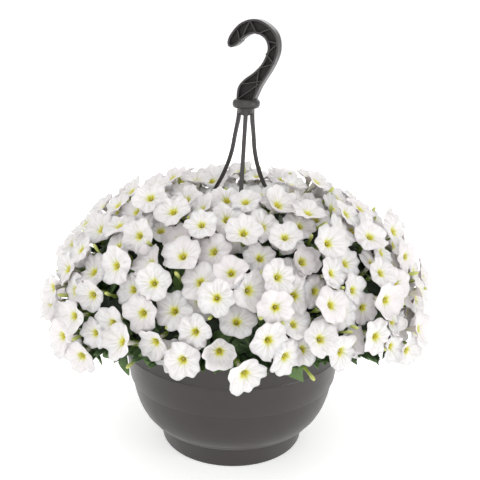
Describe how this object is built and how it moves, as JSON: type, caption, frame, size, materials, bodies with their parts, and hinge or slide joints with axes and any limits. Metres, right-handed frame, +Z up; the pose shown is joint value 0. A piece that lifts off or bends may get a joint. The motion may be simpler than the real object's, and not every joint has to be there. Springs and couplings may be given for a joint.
{
  "type": "petunia hanging basket",
  "caption": "Petunia hanging basket: a round grey plastic pot on a foot, thin arms gathered to a collar and an open hook, and a full dome of white funnel-shaped blooms.",
  "frame": {"origin": "the middle of the flat underside of the pot", "axes": "+Z up through the hook, -Y to the front as the picture shows it, +X to the right"},
  "size_m": [0.462, 0.4294, 0.5071],
  "materials": {
    "pot_plastic": "satin warm grey moulded plastic",
    "hanger_plastic": "satin charcoal moulded plastic",
    "potting_mix": "rough, moist and dark brown",
    "leaves": "soft, slightly downy dark green",
    "petals": "matte thin white petal with faint lilac veins and a yellow-green throat"
  },
  "bodies": {
    "root": {"pot": "pot_plastic", "soil": "potting_mix", "hanger": "hanger_plastic", "foliage_01": "leaves", "foliage_02": "leaves", "foliage_03": "leaves", "blooms_01": "petals", "blooms_02": "petals", "blooms_03": "petals", "blooms_04": "petals", "blooms_05": "petals", "blooms_06": "petals", "blooms_07": "petals", "blooms_08": "petals", "blooms_09": "petals", "blooms_10": "petals", "blooms_11": "petals", "blooms_12": "petals", "blooms_13": "petals", "blooms_14": "petals", "blooms_15": "petals", "blooms_16": "petals", "blooms_17": "petals", "blooms_18": "petals", "blooms_19": "petals", "blooms_20": "petals", "blooms_21": "petals", "blooms_22": "petals", "blooms_23": "petals", "blooms_24": "petals", "blooms_25": "petals", "blooms_26": "petals", "blooms_27": "petals", "blooms_28": "petals", "blooms_29": "petals", "blooms_30": "petals", "blooms_31": "petals", "blooms_32": "petals", "blooms_33": "petals", "blooms_34": "petals", "blooms_35": "petals", "blooms_36": "petals", "blooms_37": "petals", "blooms_38": "petals", "blooms_39": "petals", "blooms_40": "petals", "blooms_41": "petals", "blooms_42": "petals", "blooms_43": "petals", "blooms_44": "petals", "blooms_45": "petals", "blooms_46": "petals"}
  },
  "joints": []
}
